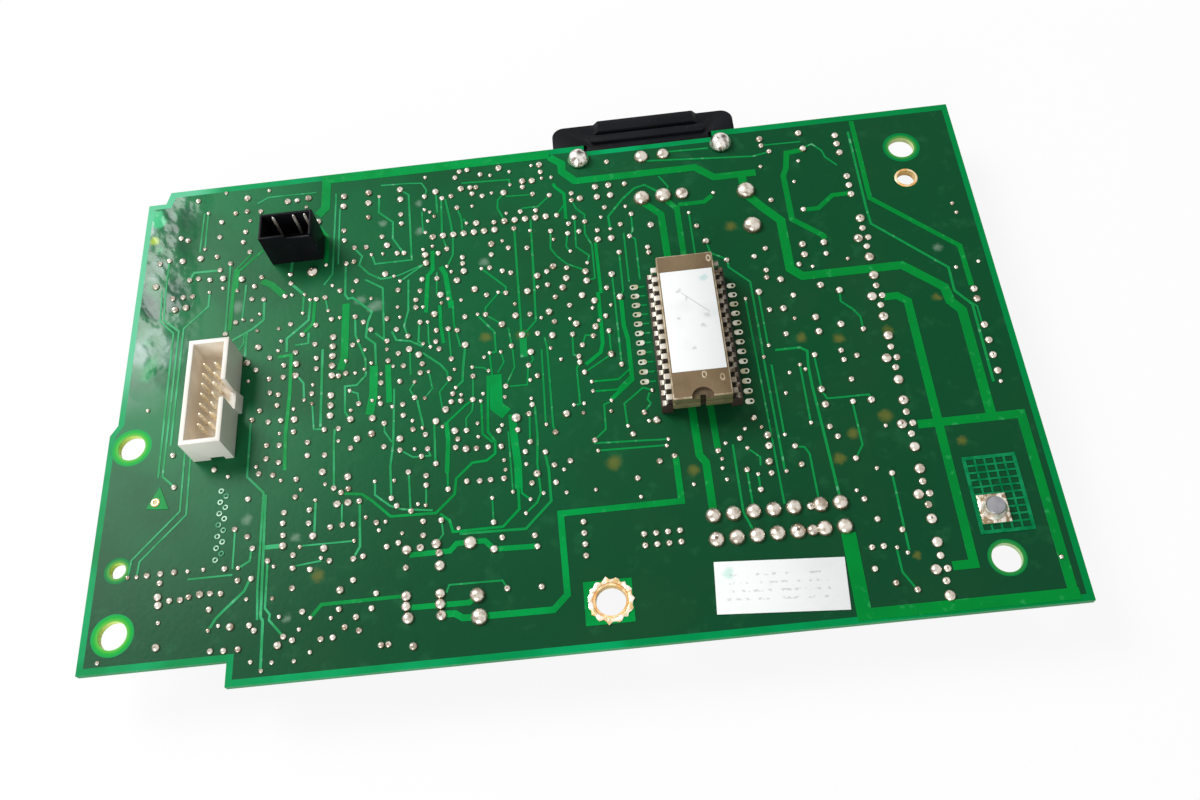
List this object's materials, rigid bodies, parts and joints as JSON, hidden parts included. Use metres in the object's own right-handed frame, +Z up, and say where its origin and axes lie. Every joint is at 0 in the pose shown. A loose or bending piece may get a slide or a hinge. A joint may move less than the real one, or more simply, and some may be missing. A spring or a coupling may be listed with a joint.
{
  "type": "circuit board",
  "caption": "Through-hole circuit board, solder side up, with a socketed memory chip, a white box header, a black shrouded header and an edge connector.",
  "frame": {"origin": "middle of the bounding box on the floor, under the parts of the component side", "axes": "+X along the long edge of the board to the right of the picture, +Y to the edge connector, +Z up out of the solder side"},
  "size_m": [0.205, 0.136, 0.0242],
  "materials": {
    "laminate": "bright green lacquered glass-fibre laminate",
    "mask_dark": "dark green solder mask over an inner plane",
    "mask_track": "green solder mask over copper",
    "solder": "bright tin-lead solder",
    "tinned": "tinned metal",
    "bare_copper": "half-tinned copper",
    "socket_plastic": "dark moulded plastic",
    "chip_ceramic": "matt brown ceramic",
    "white_label": "matt white label stock",
    "white_plastic": "satin off-white moulded plastic",
    "black_plastic": "satin black moulded plastic",
    "gilt": "gold-plated contacts",
    "blue_plastic": "dark blue sleeve",
    "red_plastic": "moulded box",
    "bung_rubber": "black rubber"
  },
  "bodies": {
    "root": {"board": "laminate", "plane_field": "mask_dark", "copper": "mask_track", "joints_small": "solder", "joints_mid": "solder", "joints_large": "solder", "joints_power": "solder", "peg_joints": "solder", "hole_lands": "bare_copper", "via_rings": "tinned", "test_pad": "mask_track", "hatch_pad": "mask_track", "stud": "solder", "chip_pads": "tinned", "socket": "socket_plastic", "socket_contacts": "tinned", "chip": "chip_ceramic", "chip_legs": "tinned", "chip_label": "white_label", "box_header": "white_plastic", "box_pins": "gilt", "shroud": "black_plastic", "shroud_pins": "tinned", "paper_label": "white_label", "edge_housing": "black_plastic", "edge_contacts": "gilt", "power_housings": "white_plastic", "drivers": "black_plastic", "driver_tabs": "tinned", "pin_strips": "black_plastic", "strip_pins": "gilt", "filter_block": "blue_plastic", "film_capacitor": "red_plastic", "transistors": "black_plastic", "row_socket": "white_plastic", "capacitor_cans": "blue_plastic", "capacitor_bungs": "bung_rubber", "resistor_network": "black_plastic", "dip_packages": "black_plastic", "dip_legs": "tinned"}
  },
  "joints": []
}
